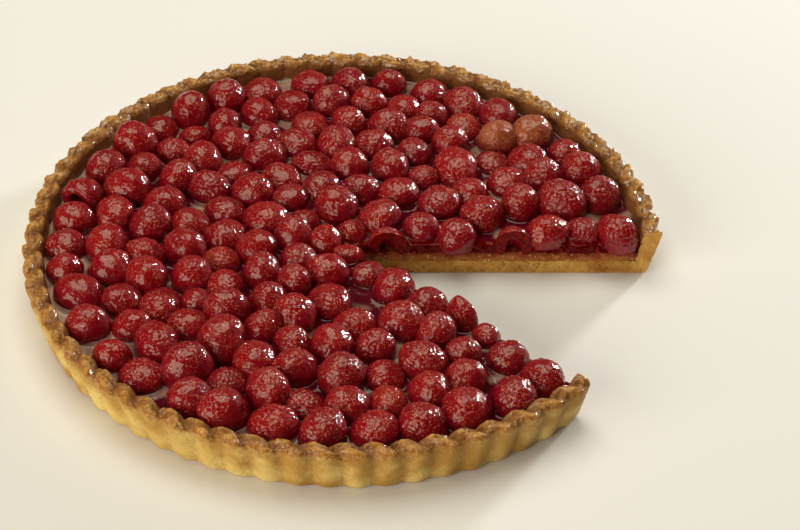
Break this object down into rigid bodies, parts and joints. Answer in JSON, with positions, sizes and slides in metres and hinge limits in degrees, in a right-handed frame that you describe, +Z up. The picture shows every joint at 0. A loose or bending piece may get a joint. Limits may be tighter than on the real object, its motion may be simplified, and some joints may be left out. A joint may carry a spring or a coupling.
{
  "type": "raspberry tart",
  "caption": "Large round raspberry tart with a fluted shortcrust case, a thin layer of pink-stained cream and whole glazed raspberries, with one wedge cut out.",
  "frame": {"origin": "centre of the flat underside of the whole round tart, where the two cuts meet", "axes": "+X runs along one cut face from the centre to the rim, the open wedge lies clockwise from it seen from above, +Z is up, +Y completes the right-handed frame"},
  "size_m": [0.2998, 0.2996, 0.0323],
  "materials": {
    "baked_pastry": "matt golden shortcrust, browned along the rim",
    "stained_cream": "soft matt cream, stained pink",
    "glazed_berry": "deep crimson under a clear glossy glaze"
  },
  "bodies": {
    "root": {"pastry_case": "baked_pastry", "cream_filling": "stained_cream", "raspberries": "glazed_berry"}
  },
  "joints": []
}
